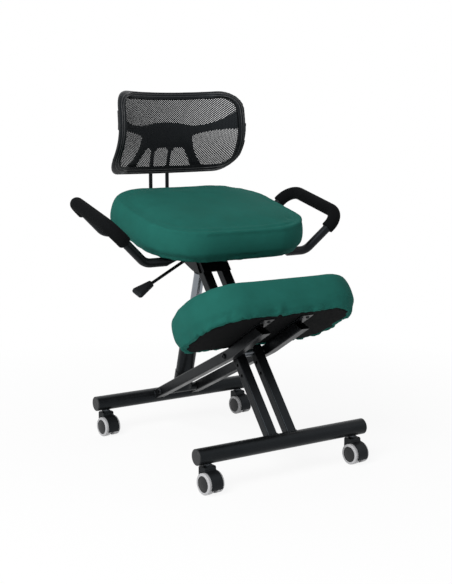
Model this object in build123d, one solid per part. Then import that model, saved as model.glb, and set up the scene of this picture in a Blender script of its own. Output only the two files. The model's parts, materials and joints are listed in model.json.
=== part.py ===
from build123d import *
import math
import os

# A kneeling chair on an X-frame. X points to the sitter's left, Y to the rear and Z up,
# and the origin is on the floor, midway between the two base bars. Lengths are in millimetres.

# Twin-wheel casters
wheel_diameter = 50.0
wheel_width = 17.0
wheel_spacing = 9.0  # clear space between the two wheels of a caster
tyre_depth = 6.0
tyre_round = 2.2
hub_dome = 1.8
axle_diameter = 6.0
axle_length = 32.0
caster_trail = 11.6  # axle ahead of the swivel stem
caster_turn = 6.0  # degrees that the casters are swivelled at rest
caster_height = 66.5  # floor to the underside of a bar
stem_diameter = 11.0
stem_depth = 28.0  # stem inside the bar
stem_seat = 14.0  # stem inside the hood
collar_diameter = 18.0
collar_height = 1.2
hood_width = 31.0
hood_wall = 2.2
hood_rear_angle = 52.0  # degrees from the top of the wheel, round the back
hood_front_angle = 114.0  # degrees from the top of the wheel, round the front
hood_web = 7.0
axle_boss_diameter = 17.0
stem_boss_diameter = 22.0
saddle_rear = 13.0  # rear wall of the hood behind the stem
saddle_front = 13.0
saddle_drop = 3.0  # top of the hood below its stem boss
saddle_foot = 11.0  # rear wall's lower edge above the axle

# Base bars
bar_diameter = 38.0
bar_wall = 1.5
bar_length = 470.0
bar_spacing = 524.0
caster_inset = 30.0  # caster stem in from the end of a bar
socket_diameter = 17.0
cap_lip = 3.0
cap_plug = 12.0

# Square tubes of the X-frame
tube_side = 25.0
tube_wall = 2.0
tube_round = 3.0
seat_tube_angle = 49.3  # degrees above the floor
knee_arm_angle = 26.0
seat_tube_clear = 29.0  # between the two seat tubes
seat_tube_length = 507.0  # from the front bar's axis
crossing_gap = 2.0  # between a seat tube and the knee arm beside it
spare_hole_pitch = 29.0
spare_hole_count = 2
arm_bend_ahead = 23.0  # bend ahead of the crossing bolt
arm_bend_radius = 90.0
arm_front_length = 150.0
tab_width = 36.0
tab_height = 3.0
tab_length = 104.0
tab_beyond_arm = 34.0
arm_end_slant = 22.0  # lower wall of the arm's end ahead of its upper wall

# Bolts of the frame
bolt_diameter = 8.0
bolt_head_diameter = 14.0
bolt_head_height = 4.4
bolt_socket_width = 5.0
bolt_socket_depth = 2.2
nut_width = 13.0
nut_height = 6.5
washer_diameter = 24.0
sleeve_diameter = 17.0

# Gas lift
foot_up_arm = 50.0  # foot bolt up the knee arm from the rear bar's axis
foot_tube_diameter = 22.0
foot_cup_diameter = 50.0
foot_cup_start = 8.0
foot_cup_height = 44.0
foot_cup_floor = 8.0
column_diameter = 47.0
column_wall = 2.0
column_length = 212.0
guide_length = 60.0
piston_diameter = 28.0
piston_hidden = 96.0  # piston inside the column at rest
head_diameter = 37.0
head_neck_diameter = 31.0
head_below = 46.0
head_above = 13.0
trunnion_diameter = 10.0
button_diameter = 8.0
button_height = 9.0
button_shaft = 10.0
button_room = 10.0  # bore below the button's shaft

# Seat bracket
seat_tilt = 13.0  # degrees, rear edge higher
seat_behind_tube = 34.5  # seat centre behind the end of the seat tubes, along the seat
seat_above_tube = 53.6  # seat underside above the end of the seat tubes
cheek_wall = 4.0
cheek_front = 46.0  # upper front corner of the cheek, along the seat from its centre
cheek_rear = 62.0
cheek_low_front = 27.0
cheek_low_rear = 24.0
cheek_drop = 73.0  # lower corners of the cheek below the seat
cheek_front_drop = 79.0
cheek_on_tube = 34.0  # weld along a seat tube, down from its end
cross_plate_height = 40.0
cross_plate_wall = 3.0
top_plate_width = 170.0
top_plate_front = 90.0
top_plate_rear = 62.0
top_plate_wall = 4.0
head_pivot_behind = 5.0  # gas head's axis behind the seat centre, along the seat
head_pivot_drop = 54.5

# Seat cushion
seat_width = 450.0
seat_depth = 380.0
seat_front_radius = 136.0
seat_rear_radius = 132.0
seat_side = 58.0  # height of the side wall
seat_tuck = 14.0  # lower edge drawn in
seat_roll = 13.0  # rounding of the upper edge
seat_crown = 10.0  # rise of the middle
seat_crown_inset = 105.0
seat_board_inset = 16.0
seat_board_height = 12.0

# Knee cushion
knee_tilt = 31.0  # degrees, front edge higher
knee_width = 441.0
knee_depth = 236.0
knee_front_radius = 104.0
knee_rear_radius = 70.0
knee_side = 68.0
knee_tuck = 9.0
knee_roll = 11.0
knee_crown = 8.0
knee_crown_inset = 62.0
knee_board_inset = 14.0
knee_board_height = 10.0
knee_centre_behind_arm = 46.0  # pad centre behind the front end of the knee arms

# Handles
handle_tube_diameter = 22.0
handle_length = 226.0
handle_ahead = 4.0  # middle of the handle ahead of the seat's centre
handle_bend_x = 231.0
handle_top_x = 325.0
handle_rise = 90.0
handle_drop = 12.0  # tube axis below the seat's underside
handle_low_radius = 38.0
handle_top_radius = 42.0
handle_flat_width = 30.0
handle_flat_height = 6.0
handle_flat_length = 52.0
handle_flat_end = 96.0  # inner end of the flattened part
handle_neck = 26.0  # where the tube changes from round to flat
grip_diameter = 33.0
grip_share = 0.38  # share of each leg that the foam covers

# Backrest
back_width = 363.0
back_flare = 7.0  # each lower corner further out than the upper one
back_bottom = 682.0
back_top = 891.0
back_top_radius = 50.0
back_bottom_radius = 44.0
back_rim_width = 19.0
back_rim_side = 12.0  # rim's width at the sides, seen from the front
back_rim_depth = 12.0
back_mesh_set = 4.5  # mesh behind the rim's front
back_mesh_depth = 1.2
back_waist = 805.0  # height where the side edges stand furthest forward
back_edge_y = 188.0
back_edge_low_sweep = 84.0
back_edge_top_sweep = 19.0
back_centre_y = 281.0
back_centre_low_sweep = 35.0
back_centre_top_sweep = 9.0
back_lean = 6.0  # degrees; the panel curls forward and up
back_levels = 7
back_overhang = 14.0
spider_depth = 9.0
spider_inset = 5.0  # ends of the spider in from the rim's outer edge
spider_plate_top = 814.0
spider_plate_bottom = 748.0
spider_plate_half_top = 62.0
spider_plate_half_bottom = 56.0
spider_plate_bow = 1.5  # top edge of the plate, up in the middle
spider_plate_shoulder = 806.0  # where the arm's upper edge leaves the plate
spider_arm_rise = 3.5  # upper edge of the arm above that, midway
spider_arm_low = 789.0
spider_arm_high = 843.0
spider_waist_half = 74.0
spider_waist = 778.0
spider_hip_half = 86.0
spider_hip = 735.0
spider_leg_inner = 96.0
spider_leg_outer = 146.0
rod_diameter = 10.0
rod_spacing = 50.0
rod_start = 82.0  # along the seat, behind its centre
rod_behind_mesh = 29.0  # top end behind the middle of the mesh
rod_top_above = 86.0  # top end above the panel's lower edge
rod_bend_drop = 78.0  # upper bend below the top end
rod_bulge = 27.0  # upright stretch behind the top end
rod_low_radius = 42.0
rod_high_radius = 90.0
rod_boss_diameter = 20.0
rod_boss_height = 34.0
rod_plate_width = 110.0
rod_plate_length = 84.0
rod_plate_height = 4.0
weld_depth = 1.0  # rod sunk into the plate by its weld

# Release lever
lever_rod_diameter = 8.0
lever_angle = 27.9  # degrees below the horizontal
lever_y = 90.0
lever_pivot_side = 50.0  # on the sitter's right of the middle
lever_pivot_drop = 52.5  # below the seat's underside centre
lever_inner = 60.0
lever_outer = 132.0
lever_pin_diameter = 4.0
lever_lug_wall = 3.0
lever_lug_side = 0.5  # clearance beside the rod
lever_lug_height = 16.0
lever_slot = 15.0
lever_tip_width = 16.0
lever_tip_height = 4.5
lever_tip_reach = 17.0
paddle_length = 50.0
paddle_neck = 17.0
paddle_width = 36.0
paddle_depth = 14.0
paddle_round = 6.0
paddle_facing = 65.0  # degrees that its broad face looks up

# Clearances
running = 0.05  # radial, pin in a hole that turns on it
apart = 0.4  # between pieces that move past each other
wheel_clear = 1.2  # wheel inside its hood
open_pivot_clear = 1.3  # trunnion in the cheek of the seat bracket
end_float = 1.0  # foot tube between the knee arms


def on_x(radius, start, end, y=0.0, z=0.0):
    """Round bar along X."""
    return extrude(Plane((start, y, z), x_dir=(0, 1, 0), z_dir=(1, 0, 0)) * Circle(radius), end - start)


def square_tube_section(side, wall, rounding):
    outer = RectangleRounded(side, side, rounding)
    inner = RectangleRounded(side - 2 * wall, side - 2 * wall, rounding - wall)
    return outer - inner


def rounded_outline(width, depth, front_radius, rear_radius, inset):
    """Rectangle in plan with its own corner radius in front and behind."""
    x = width / 2 - inset
    y = depth / 2 - inset
    front = front_radius - inset
    rear = rear_radius - inset
    low = FilletPolyline((0, y), (-x, y), (-x, -y), (0, -y), radius=[rear, front])
    right = mirror(low, about=Plane.YZ)
    return make_face([*low.edges(), *right.edges()])


def cushion(width, depth, front_radius, rear_radius, side, tuck, roll, crown, crown_inset):
    """Upholstered pad: drawn in below, upright sides, rolled edge and a crowned top."""
    shoulder = roll * 2.6
    walls = [
        (0.0, tuck),
        (side * 0.3, tuck * 0.12),
        (side * 0.75, 0.0),
        (side + roll * 0.55, roll * 0.55),
        (side + roll, shoulder),
    ]
    top = [
        (side + roll, shoulder),
        (side + roll + crown * 0.7, (shoulder + crown_inset) / 2),
        (side + roll + crown, crown_inset),
    ]
    halves = []
    for levels in (walls, top):
        sections = []
        for height, inset in levels:
            outline = rounded_outline(width, depth, front_radius, rear_radius, inset)
            sections.append(Pos(0, 0, height) * outline)
        halves.append(loft(sections))
    return halves[0] + halves[1]


def board(width, depth, front_radius, rear_radius, inset, height):
    return extrude(rounded_outline(width, depth, front_radius, rear_radius, inset), height)


# Places that the frame's lines give

bar_radius = bar_diameter / 2
bar_axis_z = caster_height + bar_radius
rear_y = bar_spacing / 2
front_y = -bar_spacing / 2
seat_slope = math.tan(math.radians(seat_tube_angle))
arm_slope = math.tan(math.radians(knee_arm_angle))
seat_along = Vector(0, math.cos(math.radians(seat_tube_angle)), math.sin(math.radians(seat_tube_angle)))
arm_along = Vector(0, -math.cos(math.radians(knee_arm_angle)), math.sin(math.radians(knee_arm_angle)))
pad_along = Vector(0, -math.cos(math.radians(knee_tilt)), math.sin(math.radians(knee_tilt)))
pad_up = Vector(0, math.sin(math.radians(knee_tilt)), math.cos(math.radians(knee_tilt)))

crossing_up_seat = bar_spacing * arm_slope / (seat_slope + arm_slope) / seat_along.Y
crossing = Vector(0, front_y, bar_axis_z) + seat_along * crossing_up_seat
crossing_up_arm = (crossing - Vector(0, rear_y, bar_axis_z)).length

seat_tube_x = (seat_tube_clear + tube_side) / 2
seat_tube_outer = seat_tube_clear / 2 + tube_side
arm_inner_x = seat_tube_outer + crossing_gap
arm_x = arm_inner_x + tube_side / 2
arm_outer_x = arm_inner_x + tube_side

tube_end = Vector(0, front_y, bar_axis_z) + seat_along * seat_tube_length
seat_turn = Rot(seat_tilt, 0, 0)
seat_centre = tube_end + (seat_turn * Pos(0, seat_behind_tube, seat_above_tube)).position
seat_place = Pos(seat_centre) * seat_turn

arm_bend = crossing + arm_along * arm_bend_ahead
arm_end = arm_bend + pad_along * arm_front_length
knee_turn = Rot(-knee_tilt, 0, 0)
knee_centre = arm_end + (knee_turn * Pos(0, knee_centre_behind_arm, tab_height + tube_side / 2)).position
knee_place = Pos(knee_centre) * knee_turn

foot_pivot = Vector(0, rear_y, bar_axis_z) + arm_along * foot_up_arm
head_pivot = (seat_place * Pos(0, head_pivot_behind, -head_pivot_drop)).position
gas_span = head_pivot - foot_pivot
gas_length = gas_span.length
gas_lean = math.degrees(math.atan2(-gas_span.Y, gas_span.Z))
gas_place = Pos(foot_pivot) * Rot(gas_lean, 0, 0)
bolt_hole = bolt_diameter / 2 + running


# Base bars and casters


def base_bar(y):
    """Round bar with an upright socket near each end for a caster stem."""
    half = bar_length / 2 - cap_lip
    outer = on_x(bar_radius, -half, half, y, bar_axis_z)
    bar = outer - on_x(bar_radius - bar_wall, -half, half, y, bar_axis_z)
    for side in (-1, 1):
        foot = Pos(side * (bar_length / 2 - caster_inset), y, caster_height)
        socket = extrude(foot * Circle(socket_diameter / 2), bar_diameter)
        bore = extrude(foot * Circle(stem_diameter / 2 + running), stem_depth + end_float)
        bar = bar + (socket & outer) - bore
    return bar


def bar_caps(y):
    """Flat plugs in the two ends of a bar."""
    half = bar_length / 2
    plug = on_x(bar_radius - bar_wall, half - cap_lip - cap_plug, half - cap_lip, y, bar_axis_z)
    lip = on_x(bar_radius, half - cap_lip, half, y, bar_axis_z)
    cap = plug + chamfer(lip.edges().sort_by(Axis.X)[-1], cap_lip / 3)
    return Compound(children=[cap, mirror(cap, about=Plane.YZ)])


wheel_radius = wheel_diameter / 2
hood_radius = wheel_radius + wheel_clear + hood_wall
boss_top = caster_height - apart - collar_height


def caster_hood():
    """Moulded hood: a fender round both wheels, a middle web and a boss for the stem."""
    side_view = Plane.YZ
    axle = Vector(-caster_trail, wheel_radius)

    def rim_point(angle):
        turn = math.radians(angle)
        return axle + Vector(-math.sin(turn), math.cos(turn)) * hood_radius

    rear = rim_point(-hood_rear_angle)
    front = rim_point(hood_front_angle)
    top = rim_point((hood_front_angle - hood_rear_angle) / 2)
    fender = make_face([Line(axle, rear), ThreePointArc(rear, top, front), Line(front, axle)])
    saddle_top = boss_top - saddle_drop
    saddle = Polyline(
        axle,
        (saddle_rear, wheel_radius + saddle_foot),
        (saddle_rear, saddle_top - saddle_drop),
        (saddle_rear - saddle_drop, saddle_top),
        (-saddle_front + saddle_drop, saddle_top),
        (-saddle_front, saddle_top - saddle_drop),
        (-saddle_front, wheel_radius),
        close=True,
    )
    body = extrude(side_view * fender, hood_width / 2, both=True)
    body += extrude(side_view * make_face(saddle), hood_width / 2, both=True)
    body += on_x(axle_boss_diameter / 2, -hood_web / 2, hood_web / 2, -caster_trail, wheel_radius)
    body += extrude(Pos(0, 0, wheel_radius) * Circle(stem_boss_diameter / 2), boss_top - wheel_radius)
    for side in (-1, 1):
        body -= on_x(
            wheel_radius + wheel_clear, side * hood_web / 2, side * hood_width, -caster_trail, wheel_radius
        )
    body -= extrude(Pos(0, 0, boss_top) * Circle(stem_diameter / 2), -stem_seat)
    return body - on_x(axle_diameter / 2, -hood_width, hood_width, -caster_trail, wheel_radius)


def caster_pins():
    """Swivel stem with its collar, and the axle across the hood."""
    stem = extrude(Pos(0, 0, boss_top - stem_seat) * Circle(stem_diameter / 2), stem_seat + apart + collar_height)
    stem += extrude(Pos(0, 0, boss_top) * Circle(collar_diameter / 2), collar_height)
    stem += extrude(Pos(0, 0, caster_height - apart) * Circle(stem_diameter / 2), stem_depth)
    axle = on_x(axle_diameter / 2, -axle_length / 2, axle_length / 2, -caster_trail, wheel_radius)
    return Compound(children=[stem, axle])


wheel_inner = wheel_spacing / 2
wheel_outer = wheel_inner + wheel_width
hub_radius = wheel_radius - tyre_depth


def wheel_hub():
    """Left-hand hub: closed, domed outer face and a blind bore for the axle."""
    bore = axle_diameter / 2 + running
    bore_end = axle_length / 2 + apart
    crown = wheel_outer + hub_dome / 2
    rim = wheel_outer - hub_dome / 2
    dome_radius = (hub_radius**2 + hub_dome**2) / (2 * hub_dome)
    halfway = crown - dome_radius + math.sqrt(dome_radius**2 - hub_radius**2 / 4)
    inside = Polyline(
        (crown, 0),
        (bore_end, 0),
        (bore_end, bore),
        (wheel_inner, bore),
        (wheel_inner, hub_radius),
        (rim, hub_radius),
    )
    dome = ThreePointArc(inside @ 1, (halfway, hub_radius / 2), inside @ 0)
    hub = revolve(make_face([*inside.edges(), dome]), Axis.X)
    return Pos(0, -caster_trail, wheel_radius) * hub


def wheel_tyre():
    """Left-hand tyre with rounded shoulders."""
    face = Pos((wheel_inner + wheel_outer) / 2, wheel_radius - tyre_depth / 2) * Rectangle(wheel_width, tyre_depth)
    face = fillet(face.vertices().group_by(Axis.Y)[-1], tyre_round)
    return Pos(0, -caster_trail, wheel_radius) * revolve(face, Axis.X)


# X-frame


def seat_tube(x):
    """Square tube from the front bar to the seat bracket, drilled for the crossing bolt and spares."""
    start = Plane((x, front_y, bar_axis_z), x_dir=(1, 0, 0), z_dir=seat_along)
    tube = extrude(start * square_tube_section(tube_side, tube_wall, tube_round), seat_tube_length)
    tube -= on_x(bar_radius, -bar_length / 2, bar_length / 2, front_y, bar_axis_z)
    for step in range(spare_hole_count + 1):
        hole = crossing - seat_along * (step * spare_hole_pitch)
        tube -= on_x(bolt_hole, x - tube_side, x + tube_side, hole.Y, hole.Z)
    return tube


def knee_arm(x):
    """Square tube from the rear bar to the knee pad, with the welded tab that the pad sits on."""
    start = Vector(x, rear_y, bar_axis_z)
    bend = Vector(x, arm_bend.Y, arm_bend.Z)
    end = Vector(x, arm_end.Y, arm_end.Z)
    path = FilletPolyline(start, bend, end + pad_along * (arm_end_slant / 2), radius=arm_bend_radius)
    section = Plane(start, x_dir=(1, 0, 0), z_dir=arm_along) * square_tube_section(tube_side, tube_wall, tube_round)
    arm = sweep(section, path)
    slant = Plane(end, x_dir=(1, 0, 0), z_dir=pad_along * tube_side + pad_up * arm_end_slant)
    arm -= extrude(slant * Rectangle(2 * tube_side, 4 * tube_side), 2 * tube_side)
    arm -= on_x(bar_radius, -bar_length / 2, bar_length / 2, rear_y, bar_axis_z)
    for hole in (crossing, foot_pivot):
        arm -= on_x(bolt_diameter / 2, x - tube_side, x + tube_side, hole.Y, hole.Z)
    tab_front = -knee_centre_behind_arm - tab_beyond_arm
    tab = Box(tab_width, tab_length, tab_height, align=(Align.CENTER, Align.MIN, Align.MAX))
    tab = fillet(tab.edges().filter_by(Axis.Z), tube_round)
    return arm + knee_place * Pos(x, tab_front, 0) * tab


def cross_bolt(place):
    """Button-head bolt with a hexagon socket, through both knee arms, with its nut."""
    head = Cylinder(bolt_head_diameter / 2, bolt_head_height, align=(Align.CENTER, Align.CENTER, Align.MIN))
    head = fillet(head.edges().sort_by(Axis.Z)[-1], 0.7 * bolt_head_height)
    socket = extrude(RegularPolygon(bolt_socket_width / 2, 6, major_radius=False), bolt_socket_depth)
    head -= Pos(0, 0, bolt_head_height - bolt_socket_depth) * socket
    head_plane = Plane((-arm_outer_x, place.Y, place.Z), x_dir=(0, 1, 0), z_dir=(-1, 0, 0))
    nut_plane = Plane((arm_outer_x, place.Y, place.Z), x_dir=(0, 1, 0), z_dir=(1, 0, 0))
    nut_face = RegularPolygon(nut_width / 2, 6, major_radius=False) - Circle(bolt_diameter / 2)
    nut = extrude(nut_plane * nut_face, nut_height)
    shank = on_x(bolt_diameter / 2, -arm_outer_x, arm_outer_x + nut_height, place.Y, place.Z)
    return Compound(children=[head_plane * head + shank, nut])


def crossing_washers():
    ring = Circle(washer_diameter / 2) - Circle(bolt_diameter / 2)
    plane = Plane((arm_inner_x, crossing.Y, crossing.Z), x_dir=(0, 1, 0), z_dir=(-1, 0, 0))
    washer = extrude(plane * ring, crossing_gap - apart)
    return Compound(children=[washer, mirror(washer, about=Plane.YZ)])


def crossing_sleeve():
    """Spacer welded between the seat tubes, round the crossing bolt."""
    half = seat_tube_clear / 2
    sleeve = on_x(sleeve_diameter / 2, -half, half, crossing.Y, crossing.Z)
    return sleeve - on_x(bolt_hole, -half, half, crossing.Y, crossing.Z)


# Gas lift, drawn upright from its foot bolt

column_start = foot_cup_start + foot_cup_floor
column_end = column_start + column_length
column_bore = column_diameter / 2 - column_wall


def gas_foot():
    """Cup for the column, on a cross tube that turns on the foot bolt."""
    reach = arm_inner_x - end_float
    foot = on_x(foot_tube_diameter / 2, -reach, reach)
    foot += extrude(Pos(0, 0, foot_cup_start) * Circle(foot_cup_diameter / 2), foot_cup_height)
    foot -= extrude(Pos(0, 0, column_start) * Circle(column_diameter / 2), foot_cup_height)
    return foot - on_x(bolt_hole, -reach, reach)


def gas_column():
    tube = extrude(Pos(0, 0, column_start) * Circle(column_diameter / 2), column_length)
    tube = chamfer(tube.edges().sort_by(Axis.Z)[-1], column_wall / 2)
    return tube - extrude(Pos(0, 0, column_start + column_wall) * Circle(column_bore), column_length)


def gas_guide():
    """Plastic bush in the column's mouth, with a lip over its edge."""
    ring = Circle(column_bore) - Circle(piston_diameter / 2 + running)
    lip = Circle(column_bore + column_wall / 2) - Circle(piston_diameter / 2 + running)
    bush = extrude(Pos(0, 0, column_end - guide_length) * ring, guide_length)
    return bush + extrude(Pos(0, 0, column_end) * lip, column_wall)


piston_top = gas_length + head_above - column_wall


def gas_piston():
    start = column_end - piston_hidden
    piston = extrude(Pos(0, 0, start) * Circle(piston_diameter / 2), piston_top - start)
    bore_depth = button_shaft + button_room
    return piston - extrude(Pos(0, 0, piston_top) * Circle(button_diameter / 2 + running), -bore_depth)


def gas_head():
    """Collar on the piston's top with a trunnion on each side."""
    neck = gas_length - head_below
    waist = gas_length - head_diameter / 2
    top = gas_length + head_above
    bore = piston_diameter / 2
    mouth = button_diameter / 2 + apart
    profile = Polyline(
        (bore, neck),
        (head_neck_diameter / 2, neck),
        (head_neck_diameter / 2, waist - head_diameter / 4),
        (head_diameter / 2, waist),
        (head_diameter / 2, top),
        (mouth, top),
        (mouth, piston_top),
        (bore, piston_top),
        close=True,
    )
    head = revolve(Plane.XZ * make_face(profile), Axis.Z)
    reach = seat_tube_outer + cheek_wall
    trunnions = on_x(trunnion_diameter / 2, -reach, reach, 0, gas_length)
    return head + (trunnions - on_x(head_diameter / 2 - column_wall, -bore, bore, 0, gas_length))


def gas_button():
    start = piston_top - button_shaft
    button = extrude(Pos(0, 0, start) * Circle(button_diameter / 2), button_shaft + button_height)
    return chamfer(button.edges().sort_by(Axis.Z)[-1], button_diameter / 8)


# Seat bracket, seat and knee pad

lever_pivot = (seat_place * Pos(0, 0, -lever_pivot_drop)).position
lever_pivot = Vector(-lever_pivot_side, lever_y, lever_pivot.Z)
lever_turn = Rot(0, -lever_angle, 0)
lever_place = Pos(lever_pivot) * lever_turn


def seat_bracket():
    """Welded bracket on the seat tubes: two cheeks, a cross plate, a top plate and the lever's lugs."""
    outer = seat_tube_outer + cheek_wall
    weld = (seat_place.inverse() * Pos(tube_end - seat_along * cheek_on_tube)).position
    tube_top = (seat_place.inverse() * Pos(tube_end)).position
    cheek = Polyline(
        (-cheek_front, -top_plate_wall),
        (cheek_rear, -top_plate_wall),
        (cheek_low_rear, -cheek_drop),
        (-cheek_low_front, -cheek_front_drop),
        (weld.Y, weld.Z),
        (tube_top.Y - tube_side / 4, tube_top.Z),
        close=True,
    )
    cheek_face = Plane.YZ * make_face(cheek)
    cheeks = seat_place * extrude(cheek_face, outer, both=True)
    cheeks -= seat_place * extrude(cheek_face, seat_tube_outer, both=True)
    cheeks -= on_x(trunnion_diameter / 2 + open_pivot_clear, -outer, outer, head_pivot.Y, head_pivot.Z)
    slot_z = lever_pivot.Z + math.tan(math.radians(lever_angle)) * (lever_pivot_side - seat_tube_outer)
    slot = Box(2 * cheek_wall + lever_rod_diameter, lever_rod_diameter + 2 * end_float, lever_slot)
    cheeks -= Pos(-outer, lever_y, slot_z) * slot
    plate = Box(top_plate_width, top_plate_front + top_plate_rear, top_plate_wall)
    plate = fillet(plate.edges().filter_by(Axis.Z), tube_side / 2)
    plate = Pos(0, (top_plate_rear - top_plate_front) / 2, -top_plate_wall / 2) * plate
    face = tube_end + Vector(0, -seat_along.Z, seat_along.Y) * (tube_side / 2)
    cross = Box(2 * seat_tube_outer, cross_plate_wall, cross_plate_height, align=(Align.CENTER, Align.MAX, Align.MAX))
    lug_gap = lever_rod_diameter / 2 + lever_lug_side
    lug_reach = outer - lever_pivot_side - lever_lug_height / 2
    bracket = cheeks + seat_place * plate
    bracket += Plane(face, x_dir=(1, 0, 0), z_dir=seat_along) * cross
    for side in (-1, 1):
        lug = Box(-lug_reach, lever_lug_wall, lever_lug_height, align=(Align.MAX, Align.CENTER, Align.CENTER))
        lug_y = lever_y + side * (lug_gap + lever_lug_wall / 2)
        bracket += Pos(-outer, lug_y, lever_pivot.Z) * lug
    pin_half = lug_gap + lever_lug_wall
    pin = Plane((lever_pivot.X, lever_y - pin_half, lever_pivot.Z), z_dir=(0, 1, 0))
    return bracket - extrude(pin * Circle(lever_pin_diameter / 2), 2 * pin_half)


def lever_pin():
    pin_half = lever_rod_diameter / 2 + lever_lug_side + lever_lug_wall
    pin = Plane((lever_pivot.X, lever_y - pin_half, lever_pivot.Z), z_dir=(0, 1, 0))
    return extrude(pin * Circle(lever_pin_diameter / 2), 2 * pin_half)


def seat_board():
    return seat_place * board(
        seat_width, seat_depth, seat_front_radius, seat_rear_radius, seat_board_inset, seat_board_height
    )


def seat_cushion():
    pad = cushion(
        seat_width,
        seat_depth,
        seat_front_radius,
        seat_rear_radius,
        seat_side,
        seat_tuck,
        seat_roll,
        seat_crown,
        seat_crown_inset,
    )
    return seat_place * pad - seat_board()


def knee_board():
    return knee_place * board(
        knee_width, knee_depth, knee_front_radius, knee_rear_radius, knee_board_inset, knee_board_height
    )


def knee_cushion():
    pad = cushion(
        knee_width,
        knee_depth,
        knee_front_radius,
        knee_rear_radius,
        knee_side,
        knee_tuck,
        knee_roll,
        knee_crown,
        knee_crown_inset,
    )
    return knee_place * pad - knee_board()


# Handles, drawn in the seat's own plane

handle_front = -handle_ahead - handle_length / 2
handle_rear = handle_front + handle_length
handle_top = handle_rise - handle_drop
handle_neck_x = handle_flat_end + handle_flat_length


def handle_corners():
    """Low and top corner of the front leg, then top and low corner of the rear leg."""
    return [
        Vector(handle_bend_x, handle_front, -handle_drop),
        Vector(handle_top_x, handle_front, handle_top),
        Vector(handle_top_x, handle_rear, handle_top),
        Vector(handle_bend_x, handle_rear, -handle_drop),
    ]


def handle_tube():
    """Left-hand loop: one bent tube whose two ends are pressed flat under the seat."""
    round_x = handle_neck_x + handle_neck
    start = Vector(round_x, handle_front, -handle_drop)
    end = Vector(round_x, handle_rear, -handle_drop)
    radii = [handle_low_radius, handle_top_radius, handle_top_radius, handle_low_radius]
    path = FilletPolyline(start, *handle_corners(), end, radius=radii)
    tube = sweep(Plane(start, z_dir=(1, 0, 0)) * Circle(handle_tube_diameter / 2), path)
    flat_axis = -handle_flat_height / 2
    for y in (handle_front, handle_rear):
        round_end = Plane((round_x, y, -handle_drop), x_dir=(0, 1, 0), z_dir=(-1, 0, 0))
        flat_end = Plane((handle_neck_x, y, flat_axis), x_dir=(0, 1, 0), z_dir=(-1, 0, 0))
        flat = flat_end * Ellipse(handle_flat_width / 2, handle_flat_height / 2)
        tube += loft([round_end * Circle(handle_tube_diameter / 2), flat])
        tube += extrude(flat, handle_flat_length)
    return seat_place * tube


def handle_grip():
    """Foam sleeve over the top of the left-hand loop."""
    low_front, top_front, top_rear, low_rear = handle_corners()
    start = top_front + (low_front - top_front) * grip_share
    end = top_rear + (low_rear - top_rear) * grip_share
    path = FilletPolyline(start, top_front, top_rear, end, radius=handle_top_radius)
    ring = Circle(grip_diameter / 2) - Circle(handle_tube_diameter / 2)
    return seat_place * sweep(Plane(start, z_dir=top_front - low_front) * ring, path)


# Backrest


def back_sweep(z, middle, low_sweep, top_sweep):
    """How far back a line of the backrest lies at a height, curved away from its waist."""
    if z < back_waist:
        return middle + low_sweep * ((back_waist - z) / (back_waist - back_bottom)) ** 2
    return middle + top_sweep * ((z - back_waist) / (back_top - back_waist)) ** 2


def back_band(near, far):
    """Curved slab between two depths behind the backrest's front, through level arcs."""
    reach = back_width / 2 + back_overhang
    low = back_bottom - back_overhang
    step = (back_top - back_bottom + 2 * back_overhang) / (back_levels - 1)
    sections = []
    for level in range(back_levels):
        z = low + level * step
        edge = back_sweep(z, back_edge_y, back_edge_low_sweep, back_edge_top_sweep)
        middle = back_sweep(z, back_centre_y, back_centre_low_sweep, back_centre_top_sweep)
        end = middle + (edge - middle) * (2 * reach / back_width) ** 2
        front = ThreePointArc((-reach, end + near, z), (0, middle + near, z), (reach, end + near, z))
        back = ThreePointArc((-reach, end + far, z), (0, middle + far, z), (reach, end + far, z))
        sides = [Line(front @ 0, back @ 0), Line(front @ 1, back @ 1)]
        sections.append(make_face([front, back, *sides]))
    return loft(sections)


def seen_from_front(face):
    """Prism along Y with a face drawn in X and Z."""
    middle = Pos(0, back_centre_y, (back_top + back_bottom) / 2)
    prism = extrude(Plane.XZ * face, -2 * back_centre_y)
    return middle * Rot(-back_lean, 0, 0) * middle.inverse() * prism


def back_outline(inset, side):
    """Outline of the backrest seen from the front, drawn in at top and bottom and at the sides."""
    x = back_width / 2 - side
    low = back_bottom + inset
    high = back_top - inset
    left = FilletPolyline(
        (0, high),
        (-x, high),
        (-x - back_flare, low),
        (0, low),
        radius=[back_top_radius - inset, back_bottom_radius - inset],
    )
    right = mirror(left, about=Plane.YZ)
    return make_face([*left.edges(), *right.edges()])


def back_rim():
    ring = back_outline(0, 0) - back_outline(back_rim_width, back_rim_side)
    return back_band(0, back_rim_depth) & seen_from_front(ring)


def back_mesh():
    panel = seen_from_front(back_outline(back_rim_width, back_rim_side))
    return back_band(back_mesh_set, back_mesh_set + back_mesh_depth) & panel


rod_top_y = back_centre_y + rod_behind_mesh
rod_top_height = back_bottom + rod_top_above


def rod_points(x):
    """Corners of a support rod, from its weld under the seat to its end in the spider."""
    start = (seat_place * Pos(x, rod_start, -rod_plate_height - rod_diameter / 2 + weld_depth)).position
    upright_y = rod_top_y + rod_bulge
    rise = (upright_y - start.Y) * math.tan(math.radians(seat_tilt))
    corner = Vector(x, upright_y, start.Z + rise)
    bend = Vector(x, upright_y, rod_top_height - rod_bend_drop)
    return [start, corner, bend, Vector(x, rod_top_y, rod_top_height)]


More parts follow.
